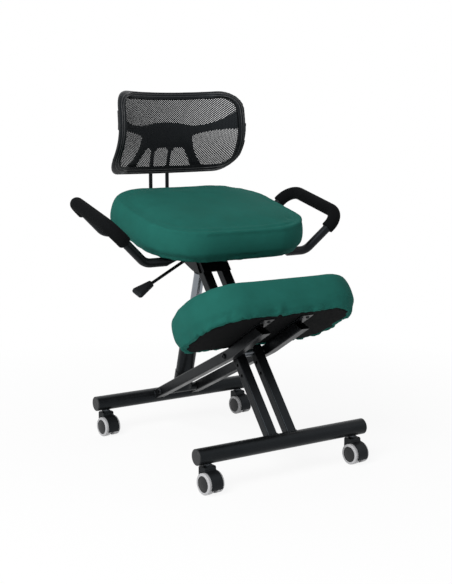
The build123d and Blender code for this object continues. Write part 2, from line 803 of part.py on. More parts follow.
def spider_outline():
    """Half of the moulded spider: plate, arm to the side rim and leg to the lower rim."""
    x = back_width / 2
    arm_top = ThreePointArc(
        (spider_plate_half_top, spider_plate_shoulder),
        ((spider_plate_half_top + x) / 2, spider_plate_shoulder + spider_arm_rise),
        (x, spider_arm_high),
    )
    plate_top = ThreePointArc(
        (0, spider_plate_top),
        (spider_plate_half_top / 2, spider_plate_top - spider_plate_bow),
        arm_top @ 0,
    )
    arm_low = ThreePointArc(
        (x, spider_arm_low),
        ((spider_waist_half + x) / 2, spider_arm_low),
        (spider_waist_half, spider_waist),
    )
    leg_outer = ThreePointArc(
        arm_low @ 1,
        (spider_hip_half, spider_hip),
        (spider_leg_outer, back_bottom),
    )
    lines = [
        plate_top,
        arm_top,
        Line(arm_top @ 1, arm_low @ 0),
        arm_low,
        leg_outer,
        Line(leg_outer @ 1, (spider_leg_inner, back_bottom)),
        Line((spider_leg_inner, back_bottom), (spider_plate_half_bottom, spider_plate_bottom)),
        Line((spider_plate_half_bottom, spider_plate_bottom), (0, spider_plate_bottom)),
        Line((0, spider_plate_bottom), (0, spider_plate_top)),
    ]
    return make_face(lines)


def back_spider():
    """Moulded frame behind the mesh, with a boss for each support rod."""
    half = spider_outline()
    shape = (half + mirror(half, about=Plane.YZ)) & back_outline(spider_inset, spider_inset)
    band = back_band(back_rim_depth, back_rim_depth + spider_depth)
    spider = band & seen_from_front(shape)
    for side in (-1, 1):
        low, high = rod_points(side * rod_spacing / 2)[2:]
        along = (high - low).normalized()
        seat = Plane(high + along * rod_plate_height, z_dir=along)
        boss = extrude(seat * Circle(rod_boss_diameter / 2), -rod_boss_height)
        spider += boss - back_band(-back_rim_depth, back_rim_depth)
        spider -= extrude(Plane(high, z_dir=along) * Circle(rod_diameter / 2), -rod_boss_height)
    return spider


def back_rods():
    """Two bent rods welded to a plate under the seat."""
    plate = Box(rod_plate_width, rod_plate_length, rod_plate_height, align=(Align.CENTER, Align.MIN, Align.MAX))
    plate = fillet(plate.edges().filter_by(Axis.Z), rod_diameter)
    rods = seat_place * Pos(0, rod_start - rod_diameter, 0) * plate
    for side in (-1, 1):
        points = rod_points(side * rod_spacing / 2)
        path = FilletPolyline(*points, radius=[rod_low_radius, rod_high_radius])
        section = Plane(points[0], z_dir=points[1] - points[0]) * Circle(rod_diameter / 2)
        rods += sweep(section, path)
    return rods


# Release lever, drawn level along X from its pin and then turned down


def lever_rod():
    """Steel rod with a tab at its inner end that lies over the release button."""
    rod = on_x(lever_rod_diameter / 2, -lever_outer, lever_inner)
    rod = lever_place * rod
    tip_low = (gas_place * Pos(0, 0, piston_top + button_height)).position
    low = tip_low.Z + button_diameter / 2 * math.sin(math.radians(gas_lean)) + apart
    tip = Box(lever_tip_width, lever_tip_reach, lever_tip_height, align=(Align.CENTER, Align.MIN, Align.MIN))
    rod += Pos(0, lever_y, low) * tip
    pin = Plane((lever_pivot.X, lever_y - lever_rod_diameter, lever_pivot.Z), z_dir=(0, 1, 0))
    return rod - extrude(pin * Circle(lever_pin_diameter / 2 + running), 2 * lever_rod_diameter)


def lever_paddle():
    """Moulded paddle that flattens and widens from a round neck on the outer end of the rod."""
    outer = -lever_outer - paddle_length * 0.75
    neck = Plane((outer + paddle_length, 0, 0), x_dir=(0, 0, 1), z_dir=(-1, 0, 0))
    flat = Plane((outer + paddle_round, 0, 0), x_dir=(0, 0, 1), z_dir=(-1, 0, 0))
    tip = Plane((outer, 0, 0), x_dir=(0, 0, 1), z_dir=(-1, 0, 0))
    sections = [
        neck * RectangleRounded(paddle_neck, paddle_neck, paddle_neck * 0.49),
        flat * RectangleRounded(paddle_width, paddle_depth, paddle_round),
        tip * RectangleRounded(paddle_width - paddle_round, paddle_depth - paddle_round, paddle_round / 2),
    ]
    body = Rot(-paddle_facing, 0, 0) * loft(sections, ruled=True)
    return lever_place * (body - on_x(lever_rod_diameter / 2, -lever_outer, lever_inner))


# One file for each node

os.makedirs("parts", exist_ok=True)
nodes = {
    "rear_bar": base_bar(rear_y),
    "rear_bar_caps": bar_caps(rear_y),
    "front_bar": base_bar(front_y),
    "front_bar_caps": bar_caps(front_y),
    "knee_arm_left": knee_arm(arm_x),
    "knee_arm_right": knee_arm(-arm_x),
    "seat_tube_left": seat_tube(seat_tube_x),
    "seat_tube_right": seat_tube(-seat_tube_x),
    "crossing_bolt": cross_bolt(crossing),
    "crossing_washers": crossing_washers(),
    "crossing_sleeve": crossing_sleeve(),
    "gas_foot_bolt": cross_bolt(foot_pivot),
    "gas_foot": gas_place * gas_foot(),
    "gas_column": gas_place * gas_column(),
    "gas_guide_bush": gas_place * gas_guide(),
    "gas_piston": gas_place * gas_piston(),
    "gas_head": gas_place * gas_head(),
    "gas_button": gas_place * gas_button(),
    "seat_bracket": seat_bracket(),
    "seat_board": seat_board(),
    "seat_cushion": seat_cushion(),
    "knee_board": knee_board(),
    "knee_cushion": knee_cushion(),
    "handle_left": handle_tube(),
    "handle_right": mirror(handle_tube(), about=Plane.YZ),
    "grip_left": handle_grip(),
    "grip_right": mirror(handle_grip(), about=Plane.YZ),
    "back_rods": back_rods(),
    "back_rim": back_rim(),
    "back_mesh": back_mesh(),
    "back_spider": back_spider(),
    "lever_pin": lever_pin(),
    "lever_rod": lever_rod(),
    "lever_paddle": lever_paddle(),
}

hood = caster_hood()
pins = caster_pins()
left_hub = wheel_hub()
left_tyre = wheel_tyre()
caster_x = bar_length / 2 - caster_inset
corners = {
    "front_left": (caster_x, front_y),
    "front_right": (-caster_x, front_y),
    "rear_left": (caster_x, rear_y),
    "rear_right": (-caster_x, rear_y),
}
for corner, (x, y) in corners.items():
    place = Pos(x, y, 0) * Rot(0, 0, caster_turn)
    nodes[f"caster_hood_{corner}"] = place * hood
    nodes[f"caster_pins_{corner}"] = place * pins
    nodes[f"wheel_hub_{corner}_l"] = place * left_hub
    nodes[f"wheel_tyre_{corner}_l"] = place * left_tyre
    nodes[f"wheel_hub_{corner}_r"] = place * mirror(left_hub, about=Plane.YZ)
    nodes[f"wheel_tyre_{corner}_r"] = place * mirror(left_tyre, about=Plane.YZ)

for name, shape in nodes.items():
    export_step(shape, f"parts/{name}.step")

print("nodes", len(nodes))
print("crossing", crossing, "foot pivot", foot_pivot, "head pivot", head_pivot)
print("gas length", round(gas_length, 2), "lean", round(gas_lean, 3), "lever pivot", lever_pivot)
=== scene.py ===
# %% [markdown]
# # A kneeling chair in black steel and green cloth
#
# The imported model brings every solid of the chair, in metres, on the body that moves it. This lesson
# dresses that model. Steel tubes, bolts and wheels keep their solids and only get a finish. Pads, foam,
# net and mouldings are modelled again here, because cloth and soft edges need shapes that plain solids
# don't hold.

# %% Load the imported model
import json
import math
import bmesh
import bpy
from mathutils import Matrix, Vector, noise
from mathutils.bvhtree import BVHTree

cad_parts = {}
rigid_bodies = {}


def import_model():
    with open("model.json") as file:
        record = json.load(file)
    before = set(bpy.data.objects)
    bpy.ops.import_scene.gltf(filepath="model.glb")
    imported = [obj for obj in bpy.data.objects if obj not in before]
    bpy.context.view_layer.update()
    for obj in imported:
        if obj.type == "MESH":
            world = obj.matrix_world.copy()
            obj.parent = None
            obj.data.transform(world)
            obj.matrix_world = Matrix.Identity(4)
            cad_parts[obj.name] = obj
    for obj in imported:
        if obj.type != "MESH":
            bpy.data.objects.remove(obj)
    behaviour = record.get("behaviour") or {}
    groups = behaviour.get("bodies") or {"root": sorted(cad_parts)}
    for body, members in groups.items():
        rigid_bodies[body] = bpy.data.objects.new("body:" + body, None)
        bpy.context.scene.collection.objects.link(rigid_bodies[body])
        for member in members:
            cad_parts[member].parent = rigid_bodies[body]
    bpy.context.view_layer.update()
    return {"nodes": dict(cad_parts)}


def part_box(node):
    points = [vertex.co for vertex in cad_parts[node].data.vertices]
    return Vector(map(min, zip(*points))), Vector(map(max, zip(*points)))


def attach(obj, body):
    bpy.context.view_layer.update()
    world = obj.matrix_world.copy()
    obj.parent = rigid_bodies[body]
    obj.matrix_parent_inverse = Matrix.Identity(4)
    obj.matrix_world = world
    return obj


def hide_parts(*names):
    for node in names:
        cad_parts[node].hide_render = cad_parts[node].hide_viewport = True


for leftover in list(bpy.data.objects):
    bpy.data.objects.remove(leftover)
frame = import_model()
nodes = frame["nodes"]
scene = bpy.context.scene
MM = 0.001

# %% [markdown]
# ## Camera
#
# The chair stands a little turned, with its knee pad to the front and its right side nearer. A camera
# could be placed by eye, but the edges of the tubes give its angle and distance, so those numbers are
# used as they were measured. The lens is long, as for a product picture, so the verticals stay upright.
# Camera and lamps are placed in the same way, by how far round and how high they stand.

# %% Camera
view_target = Vector((0.0054, 0.0, 0.3997))
view_turn, view_rise, view_distance = -31.62, 9.64, 2.7545
focal_length = 68.27


def stand(piece, turn, rise, distance):
    """Stands a camera or lamp turn degrees round and rise degrees up, looking at the chair's middle."""
    turn, rise = math.radians(turn), math.radians(rise)
    away = Vector((math.sin(turn) * math.cos(rise), -math.cos(turn) * math.cos(rise), math.sin(rise)))
    piece.location = view_target + away * distance
    piece.rotation_euler = (-away).to_track_quat("-Z", "Y").to_euler()
    scene.collection.objects.link(piece)


lens = bpy.data.cameras.new("product_view")
lens.lens = focal_length
camera = bpy.data.objects.new("product_view", lens)
stand(camera, view_turn, view_rise, view_distance)
scene.camera = camera
scene.view_settings.view_transform = "Standard"
print("camera at", [round(x, 3) for x in camera.location])

# %% [markdown]
# ## White room
#
# The picture has a white ground. More lamps would burn out the chair, so the white is painted in
# instead: rays that make the picture see a world of strength 1, and rays that only carry light see a
# dim one.

# %% White room
room_light = 0.19


def picture_rays(tree):
    """Output that is 1 for rays that make the picture, straight or mirrored, and 0 for light."""
    path = tree.nodes.new("ShaderNodeLightPath")
    seen = path.outputs["Is Camera Ray"]
    for kind in ("Is Glossy Ray", "Is Transmission Ray"):
        either = tree.nodes.new("ShaderNodeMath")
        either.operation = "MAXIMUM"
        tree.links.new(seen, either.inputs[0])
        tree.links.new(path.outputs[kind], either.inputs[1])
        seen = either.outputs[0]
    return seen


def spread(tree, source, low, high, to_low, to_high):
    """Map Range node on source, with its output."""
    node = tree.nodes.new("ShaderNodeMapRange")
    tree.links.new(source, node.inputs["Value"])
    for socket, value in zip(("From Min", "From Max", "To Min", "To Max"), (low, high, to_low, to_high)):
        node.inputs[socket].default_value = value
    return node.outputs["Result"]


studio = bpy.data.worlds.new("studio")
scene.world = studio
studio.use_nodes = True
tree = studio.node_tree
strength = spread(tree, picture_rays(tree), 0, 1, room_light, 1)
tree.nodes["Background"].inputs["Color"].default_value = (1, 1, 1, 1)
tree.links.new(strength, tree.nodes["Background"].inputs["Strength"])
print("room light", room_light)

# %% [markdown]
# ## Floor
#
# The floor is white in the same way. A floor of paint alone would let the chair float, so near the
# wheels a tenth of it is a real matte surface, which fades out with the distance. That tenth keeps a
# soft shadow to stand on.

# %% Floor
shadow_near, shadow_far = 0.35, 1.4
glow_near, glow_far = 0.9, 1
paper_white = 0.93
ground_radius = 14

paper = bpy.data.materials.new("white_ground")
paper.use_nodes = True
tree = paper.node_tree
tree.nodes.clear()
away = tree.nodes.new("ShaderNodeVectorMath")
away.operation = "LENGTH"
tree.links.new(tree.nodes.new("ShaderNodeTexCoord").outputs["Object"], away.inputs[0])
fade = spread(tree, away.outputs["Value"], shadow_near, shadow_far, glow_near, glow_far)
share = tree.nodes.new("ShaderNodeMath")
share.operation = "MULTIPLY"
tree.links.new(fade, share.inputs[0])
tree.links.new(picture_rays(tree), share.inputs[1])
matte = tree.nodes.new("ShaderNodeBsdfDiffuse")
matte.inputs["Color"].default_value = (paper_white, paper_white, paper_white, 1)
glow = tree.nodes.new("ShaderNodeEmission")
both = tree.nodes.new("ShaderNodeMixShader")
tree.links.new(share.outputs[0], both.inputs[0])
tree.links.new(matte.outputs[0], both.inputs[1])
tree.links.new(glow.outputs[0], both.inputs[2])
out = tree.nodes.new("ShaderNodeOutputMaterial")
tree.links.new(both.outputs[0], out.inputs["Surface"])

shape = bmesh.new()
bmesh.ops.create_circle(shape, cap_ends=True, segments=96, radius=ground_radius)
mesh = bpy.data.meshes.new("ground")
shape.to_mesh(mesh)
shape.free()
ground = bpy.data.objects.new("ground", mesh)
ground.data.materials.append(paper)
scene.collection.objects.link(ground)
print("ground", len(mesh.polygons), "face")

# %% [markdown]
# ## Lamps
#
# The seat's top and the raised front of the knee pad are about equally bright, and the seat's front is
# darker. That happens when the main light stands further left than the camera and a little under forty
# degrees up. It is a wide area lamp, which keeps the shadows soft, and two weak ones open up the far
# sides.

# %% Lamps
def lamp(name, turn, rise, distance, size, power):
    """Square area lamp that looks at the middle of the chair."""
    data = bpy.data.lights.new(name, "AREA")
    data.size = size
    data.energy = power
    stand(bpy.data.objects.new(name, data), turn, rise, distance)


lamp("main_light", turn=-60, rise=37, distance=3.2, size=1.8, power=104)
lamp("rim_light", turn=150, rise=40, distance=3.4, size=2.2, power=14)
lamp("side_light", turn=62, rise=24, distance=3.4, size=2.4, power=10)

# %% [markdown]
# ## Finishes
#
# No real surface has one colour. Powder coat has a fine orange peel, mouldings have a sandy grain and
# drift a little in gloss, and cloth is threads. One helper makes them all: a soft noise lets the colour
# and the gloss drift in patches, and a fine noise gives the relief. Everything reads Object coordinates,
# which are metres on this chair, so a grain of half a millimetre is half a millimetre on every piece.

# %% Finish helper
drift_range = (0.3, 0.7)
drift_detail, drift_roughness = 5, 0.62
relief_strength = 0.7


def finish(name, dark, light, patch, gloss, grain, relief, cells=False):
    """Material with a colour between dark and light, a gloss range and a fine relief, sizes in mm."""
    material = bpy.data.materials.new(name)
    material.use_nodes = True
    tree = material.node_tree
    shader = tree.nodes["Principled BSDF"]
    place = tree.nodes.new("ShaderNodeTexCoord").outputs["Object"]
    drift = tree.nodes.new("ShaderNodeTexNoise")
    drift.inputs["Scale"].default_value = 1000 / patch
    drift.inputs["Detail"].default_value = drift_detail
    drift.inputs["Roughness"].default_value = drift_roughness
    tree.links.new(place, drift.inputs["Vector"])
    tint = tree.nodes.new("ShaderNodeValToRGB")
    for stop, position, colour in zip(tint.color_ramp.elements, drift_range, (dark, light)):
        stop.position = position
        stop.color = (*colour, 1)
    tree.links.new(drift.outputs[0], tint.inputs["Fac"])
    tree.links.new(tint.outputs["Color"], shader.inputs["Base Color"])
    tree.links.new(spread(tree, drift.outputs[0], *drift_range, *gloss), shader.inputs["Roughness"])
    fine = tree.nodes.new("ShaderNodeTexVoronoi" if cells else "ShaderNodeTexNoise")
    fine.inputs["Scale"].default_value = 1000 / grain
    tree.links.new(place, fine.inputs["Vector"])
    bump = tree.nodes.new("ShaderNodeBump")
    bump.inputs["Distance"].default_value = relief * MM
    bump.inputs["Strength"].default_value = relief_strength
    tree.links.new(fine.outputs[0], bump.inputs["Height"])
    tree.links.new(bump.outputs["Normal"], shader.inputs["Normal"])
    return material


def shader_of(material):
    """The material's main shader, for values that are the same all over it."""
    return material.node_tree.nodes["Principled BSDF"]


def greys(dark, light):
    """Two greys that lean a little to blue, as black paint and black plastic do."""
    green, blue = 1.08, 1.18
    return (dark, dark * green, dark * blue), (light, light * green, light * blue)


# %% [markdown]
# ## Steel, plastic and rubber
#
# The frame is black powder coat, the bolts are oxidised, the washers are zinc and the piston is chrome.
# The plastic comes in several blacks, because the paddle, the back and the casters come out of
# different moulds. Black paint and plastic would look milky with the usual gloss in a white room, so
# theirs is lowered and leans to blue.

# %% Steel
# After the two colours come the patch in mm, the roughness from and to, the grain and the relief in mm.
powder_coat = finish("satin_powder_coat", *greys(0.004, 0.0065), 45, (0.29, 0.4), 0.9, 0.05)
oxide = finish("black_oxide", *greys(0.014, 0.024), 14, (0.34, 0.5), 0.6, 0.03)
zinc = finish("dull_zinc", *greys(0.10, 0.16), 9, (0.3, 0.46), 0.5, 0.03)
chrome = finish("polished_chrome", *greys(0.20, 0.24), 60, (0.12, 0.18), 2.5, 0.01)
for metal in (zinc, chrome, oxide):
    shader_of(metal).inputs["Metallic"].default_value = 1.0
print("metal finishes", powder_coat.name, oxide.name, zinc.name, chrome.name)

# %% Plastic, rubber, foam and yarn
moulding = finish("sandy_black_moulding", *greys(0.005, 0.008), 30, (0.44, 0.6), 0.55, 0.06)
back_moulding = finish("back_moulding", *greys(0.003, 0.005), 40, (0.42, 0.58), 0.5, 0.07)
cap_moulding = finish("grey_cap_moulding", *greys(0.010, 0.015), 18, (0.4, 0.52), 0.6, 0.05)
caster_moulding = finish("caster_moulding", *greys(0.0045, 0.007), 24, (0.36, 0.5), 0.5, 0.04)
hub_moulding = finish("hub_moulding", *greys(0.006, 0.009), 20, (0.38, 0.5), 0.5, 0.04)
tyre_rubber = finish("pale_tyre", (0.43, 0.43, 0.44), (0.50, 0.50, 0.51), 16, (0.42, 0.56), 0.8, 0.04)
grip_foam = finish("grip_foam", *greys(0.0035, 0.006), 12, (0.82, 0.95), 0.8, 0.25, cells=True)
cover_felt = finish("dust_cover_felt", *greys(0.0025, 0.0045), 10, (0.8, 0.95), 1.2, 0.2)
# The welt's grey is paler than the rim's black: a painted highlight along the welt lines.
welt_cord_painted_highlight = finish("welt_cord_painted_highlight", *greys(0.016, 0.024), 20, (0.4, 0.5), 0.5, 0.03)
net_yarn = finish("net_yarn", *greys(0.005, 0.009), 20, (0.5, 0.65), 0.35, 0.05)

black_gloss, grey_gloss, soft_gloss = 0.15, 0.3, 0.04
cool_gloss = (0.78, 0.9, 1.0, 1)
for black in (powder_coat, moulding, back_moulding, caster_moulding, net_yarn):
    shader_of(black).inputs["Specular IOR Level"].default_value = black_gloss
    shader_of(black).inputs["Specular Tint"].default_value = cool_gloss
for grey in (cap_moulding, hub_moulding):
    shader_of(grey).inputs["Specular IOR Level"].default_value = grey_gloss
for soft in (grip_foam, cover_felt):
    shader_of(soft).inputs["Specular IOR Level"].default_value = soft_gloss
print("other finishes", moulding.name, tyre_rubber.name, grip_foam.name, cover_felt.name, net_yarn.name)

# %% [markdown]
# ## Upholstery cloth
#
# The pads wear a plain green weave. A weave could follow a UV map, but the remeshed pads have none. So
# the threads are sine bands along the pad's own three axes: on each side of the pad two of them cross
# and make the over and under of a weave. Sheen gives the soft bloom of fibres seen at a low angle.

# %% Upholstery cloth
cloth_dark, cloth_light = (0.0126, 0.098, 0.079), (0.0160, 0.121, 0.099)
cloth_bloom = (0.35, 0.8, 0.7, 1)
thread = 1.3 * MM
thread_relief = 0.08 * MM
thread_wander, weave_strength = 0.6, 0.6
cloth_gloss, cloth_sheen, sheen_roughness = 0.05, 0.02, 0.5
# The wave texture multiplies a place by this factor itself.
wave_factor = 20


def woven_cloth(name, tilt):
    """Green cloth whose threads run with a pad that is tilted about X by tilt degrees."""
    material = finish(name, cloth_dark, cloth_light, patch=70, gloss=(0.78, 0.9), grain=1.4, relief=0.1)
    tree = material.node_tree
    place = tree.nodes["Texture Coordinate"].outputs["Object"]
    level = tree.nodes.new("ShaderNodeMapping")
    level.inputs["Rotation"].default_value = (math.radians(-tilt), 0, 0)
    tree.links.new(place, level.inputs["Vector"])
    height = None
    for axis in "XYZ":
        bands = tree.nodes.new("ShaderNodeTexWave")
        bands.bands_direction = axis
        bands.inputs["Scale"].default_value = math.tau / wave_factor / thread
        bands.inputs["Distortion"].default_value = thread_wander
        tree.links.new(level.outputs["Vector"], bands.inputs["Vector"])
        if height is None:
            height = bands.outputs["Fac"]
            continue
        total = tree.nodes.new("ShaderNodeMath")
        total.operation = "ADD"
        tree.links.new(height, total.inputs[0])
        tree.links.new(bands.outputs["Fac"], total.inputs[1])
        height = total.outputs[0]
    weave = tree.nodes.new("ShaderNodeBump")
    weave.inputs["Distance"].default_value = thread_relief
    weave.inputs["Strength"].default_value = weave_strength
    tree.links.new(height, weave.inputs["Height"])
    tree.links.new(tree.nodes["Bump"].outputs["Normal"], weave.inputs["Normal"])
    shader = shader_of(material)
    tree.links.new(weave.outputs["Normal"], shader.inputs["Normal"])
    shader.inputs["Specular IOR Level"].default_value = cloth_gloss
    shader.inputs["Sheen Weight"].default_value = cloth_sheen
    shader.inputs["Sheen Roughness"].default_value = sheen_roughness
    shader.inputs["Sheen Tint"].default_value = cloth_bloom
    return material


seat_tilt = 13.0
knee_tilt = -31.0
seat_cloth = woven_cloth("seat_cloth", seat_tilt)
knee_cloth = woven_cloth("knee_cloth", knee_tilt)
print("cloth", seat_cloth.name, knee_cloth.name)

# %% [markdown]
# ## Dressing the steel
#
# A CAD solid whose shape is right only needs its finish. The names of the nodes say what each one is, so
# a short list of name parts is enough to dress them all. Where several parts of a name are listed, the
# last one counts.

# %% Dress the CAD nodes
node_finishes = {
    "bar": powder_coat, "caps": cap_moulding, "arm": powder_coat, "tube": powder_coat, "bolt": oxide,
    "washers": zinc, "sleeve": zinc, "foot": powder_coat, "column": powder_coat, "bush": moulding,
    "piston": chrome, "head": oxide, "button": zinc, "bracket": powder_coat, "handle": powder_coat,
    "rods": powder_coat, "pin": zinc, "lever_rod": powder_coat, "paddle": moulding, "hood": caster_moulding,
    "pins": zinc, "hub": hub_moulding, "tyre": tyre_rubber, "rim": back_moulding, "spider": back_moulding,
    "mesh": net_yarn, "grip": grip_foam, "seat_cushion": seat_cloth, "knee_cushion": knee_cloth,
    "board": cover_felt,
}
for name, solid in nodes.items():
    fitting = [part for part in node_finishes if part in name]
    material = node_finishes[max(fitting, key=lambda part: (name.rfind(part), len(part)))]
    for slot in solid.material_slots:
        slot.material = material
print("dressed", len(nodes), "nodes")

# %% [markdown]
# ## Helpers for new pieces
#
# Most new pieces start from a copy of the solid that they replace, so that they sit where it sits. The
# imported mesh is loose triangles, so the copy is merged first. A voxel remesh then gives it an even skin,
# and a little smoothing rounds the edges as a mould would.

# %% Copies with an even skin
def piece_from(name, shape):
    """New object at the origin from a bmesh."""
    mesh = bpy.data.meshes.new(name)
    shape.to_mesh(mesh)
    shape.free()
    mesh.shade_smooth()
    piece = bpy.data.objects.new(name, mesh)
    scene.collection.objects.link(piece)
    return piece


def merged_copy(name, *parts):
    """New piece that is a merged copy of CAD nodes."""
    shape = bmesh.new()
    for part in parts:
        shape.from_mesh(nodes[part].data)
    bmesh.ops.remove_doubles(shape, verts=shape.verts, dist=0.02 * MM)
    return piece_from(name, shape)


def apply_modifiers(piece):
    """Makes what the modifiers show the piece's own mesh."""
    bpy.context.view_layer.update()
    solved = piece.evaluated_get(bpy.context.evaluated_depsgraph_get())
    mesh = bpy.data.meshes.new_from_object(solved)
    piece.modifiers.clear()
    piece.data = mesh
    mesh.shade_smooth()


def add_softening(piece, rounds):
    """Smoothing modifier that turns edges over, by rounds."""
    soften = piece.modifiers.new("soften", "SMOOTH")
    soften.factor = 0.5
    soften.iterations = rounds


def even_skin(piece, voxel, rounds):
    """Even quads of about voxel millimetres, with edges softened by rounds of smoothing."""
    remesh = piece.modifiers.new("even_skin", "REMESH")
    remesh.mode = "VOXEL"
    remesh.voxel_size = voxel * MM
    add_softening(piece, rounds)
    apply_modifiers(piece)


def subdivided(piece):
    """One round of subdivision, applied."""
    finer = piece.modifiers.new("finer", "SUBSURF")
    finer.levels = 1
    finer.render_levels = 1
    apply_modifiers(piece)


# %% Finishing a piece
def dress(piece, material):
    """Gives a piece one material."""
    piece.data.materials.clear()
    piece.data.materials.append(material)


def finished(piece, body, slot, material, *replaced):
    """Dresses a piece, lets it ride on a body and hides the nodes that it stands for."""
    dress(piece, material)
    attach(piece, body)
    if replaced:
        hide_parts(*replaced)
    piece.data.calc_loop_triangles()
    print(piece.name, len(piece.data.loop_triangles), "triangles")
    return piece


# %% [markdown]
# ## Axes of the pads
#
# Both pads are tilted, and everything on them is easier to say in their own axes: so far across, so far
# along and so far up from the board. The tilt is known, and the middle comes from the board's own
# corners.

# %% Axes of the pads
def pad_axes(board, tilt):
    """Matrix of a pad's own axes: across, along and up from the middle of its board's underside."""
    turn = Matrix.Rotation(math.radians(tilt), 4, "X")
    corners = [turn.inverted() @ v.co for v in nodes[board].data.vertices]
    low = [min(c[i] for c in corners) for i in range(3)]
    high = [max(c[i] for c in corners) for i in range(3)]
    return turn @ Matrix.Translation(((low[0] + high[0]) / 2, (low[1] + high[1]) / 2, low[2]))


seat_axes = pad_axes("seat_board", seat_tilt)
knee_axes = pad_axes("knee_board", knee_tilt)
for name, axes in (("seat", seat_axes), ("knee", knee_axes)):
    print(name, "pad at", [round(x, 3) for x in axes.translation])

# %% [markdown]
# ## Seat and knee pads
#
# Each pad is foam on a plywood board, pulled tight in cloth that is stapled under the board. A cube with
# rounded edges would look like plastic. So a slightly smaller copy of the pad gets an even skin, its
# underside is held, and a cloth simulation blows the rest up until the skin is tight. The movement is
# capped, so the pad stays close to its solid.

# %% Pad simulation
pressure = 4
sim_steps, quick_steps = 20, 2


def with_normals(piece):
    """The piece's points, each with its normal as it was before any of them moves."""
    normals = [v.normal.copy() for v in piece.data.vertices]
    return zip(piece.data.vertices, normals)


def blown_up(pad, axes, shrink, cap):
    """Shrinks a pad a little, blows it up as cloth with its underside held, and caps the movement."""
    to_pad = axes.inverted()
    hem, rise_over = 5 * MM, 20 * MM
    held = [v.index for v in pad.data.vertices if (to_pad @ v.co).z < hem]
    for v, normal in with_normals(pad):
        rise = min(1.0, max(0.0, ((to_pad @ v.co).z - hem) / rise_over))
        v.co -= normal * shrink * MM * rise
    start = [v.co.copy() for v in pad.data.vertices]
    pad.vertex_groups.new(name="held").add(held, 1.0, "REPLACE")
    cloth = pad.modifiers.new("cloth", "CLOTH")
    cloth.settings.use_pressure = True
    cloth.settings.uniform_pressure_force = pressure
    cloth.settings.vertex_group_mass = "held"
    cloth.settings.effector_weights.gravity = 0
    last = sim_steps
    for step in range(1, last + 1):
        scene.frame_set(step)
    apply_modifiers(pad)
    scene.frame_set(1)
    furthest = 0.0
    for v, was in zip(pad.data.vertices, start):
        move = v.co - was
        furthest = max(furthest, move.length)
        if move.length > cap * MM:
            v.co = was + move.normalized() * cap * MM
    print(pad.name, "moved up to", round(furthest / MM, 1), "mm")


# %% [markdown]
# ## Settling the pads
#
# The blown and smoothed pads come out too round at their shoulders. Foam stands on its board with
# fuller sides, so the skin is brought back most of the way to the solid at the sides and less on top.
# Then the pad swells by a few millimetres and its top gets a crown, on the knee pad only ahead of its
# back edge.

# %% Settled pads
def smooth_step(value):
    """0 below 0, 1 above 1 and an even curve between."""
    value = min(1.0, max(0.0, value))
    return value * value * (3 - 2 * value)


def skin_of(node):
    """Search tree of a CAD node's surface."""
    mesh = nodes[node].data
    return BVHTree.FromPolygons([v.co for v in mesh.vertices], [p.vertices for p in mesh.polygons])


def settled(pad, axes, solid, swell, crown, reach):
    """Brings a blown pad back to its solid, swells it and lifts its top by mm, to reach mm back."""
    to_pad = axes.inverted()
    up = axes.col[2].xyz
    surface = skin_of(solid)
    hem, rise_over, reach_over = 6 * MM, 20 * MM, 40 * MM
    top_from, top_over, crown_over = 0.8, 0.15, 0.6
    side_pull, top_slack = 0.75, 0.5
    for v, normal in with_normals(pad):
        spot = to_pad @ v.co
        lift = smooth_step((spot.z - hem) / rise_over)
        top = smooth_step((normal.dot(up) - top_from) / top_over)
        ahead = smooth_step((reach * MM - spot.y) / reach_over) * MM
        v.co = v.co.lerp(surface.find_nearest(v.co)[0], (side_pull - top_slack * top) * lift)
        v.co += (normal * swell + up * crown * smooth_step(normal.dot(up) / crown_over)) * lift * ahead
    add_softening(pad, rounds=4)
    apply_modifiers(pad)


def upholstered(name, cushion, board, axes, cap, swell, crown, reach):
    """Pad made from its cushion and board: even skin, blown up, refined and settled."""
    pad = merged_copy(name, cushion, board)
    even_skin(pad, voxel=6, rounds=2)
    blown_up(pad, axes, shrink=3, cap=cap)
    subdivided(pad)
    settled(pad, axes, cushion, swell, crown, reach)
    return pad


seat_pad = upholstered(
    "seat_pad", "seat_cushion", "seat_board", seat_axes, cap=4, swell=4, crown=5, reach=400,
)
knee_pad = upholstered(
    "knee_pad", "knee_cushion", "knee_board", knee_axes, cap=3.5, swell=3, crown=3.5, reach=60,
)
print("pads", len(seat_pad.data.vertices), len(knee_pad.data.vertices))

# %% [markdown]
# ## Crease and shoulder of the seat
#
# Where the seat's top meets its front the cloth lies in a shallow crease. It starts on one side, runs
# round the corner and goes along the front. The edge below it is tight, so the shoulder there is filled
# out first. The crease is narrower than the first remesh, so it is pressed into the finer skin
# afterwards, point by point and along the surface's own normals.

# %% Crease and shoulder
def distance_to_path(point, path):
    """Distance from a plan point to a path, and how far along it that is, from 0 to 1."""
    best = (1e9, 0.0)
    for index, (a, b) in enumerate(zip(path, path[1:])):
        along = b - a
        share = min(1.0, max(0.0, (point - a).dot(along) / along.length_squared))
        best = min(best, ((point - a - along * share).length, (index + share) / (len(path) - 1)))
    return best


def press_crease(pad, axes, path, depth, width, floor):
    """Groove of depth and width mm along a plan path, on what stands higher than floor mm."""
    to_pad = axes.inverted()
    path = [Vector(p) * MM for p in path]
    fade_in, fade_out = 0.18, 0.12
    for v, normal in with_normals(pad):
        spot = to_pad @ v.co
        if spot.z < floor * MM:
            continue
        off, along = distance_to_path(spot.xy, path)
        ends = smooth_step(along / fade_in) * smooth_step((1 - along) / fade_out)
        groove = math.exp(-((off / (width * MM)) ** 2)) * depth
        v.co -= normal * groove * ends * MM


